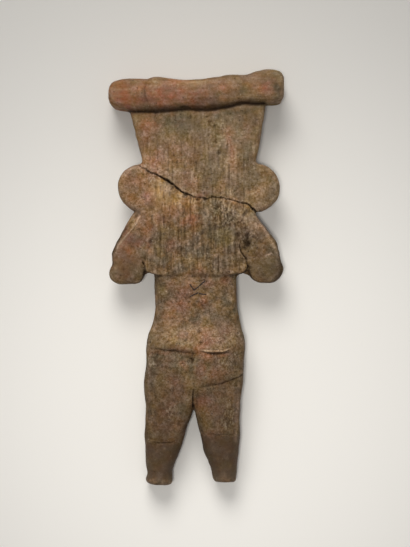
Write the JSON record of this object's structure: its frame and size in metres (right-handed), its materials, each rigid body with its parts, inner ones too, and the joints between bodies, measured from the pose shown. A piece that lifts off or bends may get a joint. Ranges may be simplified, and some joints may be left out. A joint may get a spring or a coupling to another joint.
{
  "type": "terracotta figurine",
  "caption": "Flat hand-modelled fired-clay standing figure with a roll headband, round ear ornaments, combed hair and bent arms, lying face down.",
  "frame": {"origin": "on the table under the middle of the figure's outline", "axes": "+Y from the feet to the head, +Z from the face to the back, which faces up"},
  "size_m": [0.0506, 0.12, 0.0163],
  "materials": {
    "terracotta": "matte unglazed fired clay, burnished in places, with soil and soot stains"
  },
  "bodies": {
    "root": {"figurine": "terracotta"}
  },
  "joints": []
}
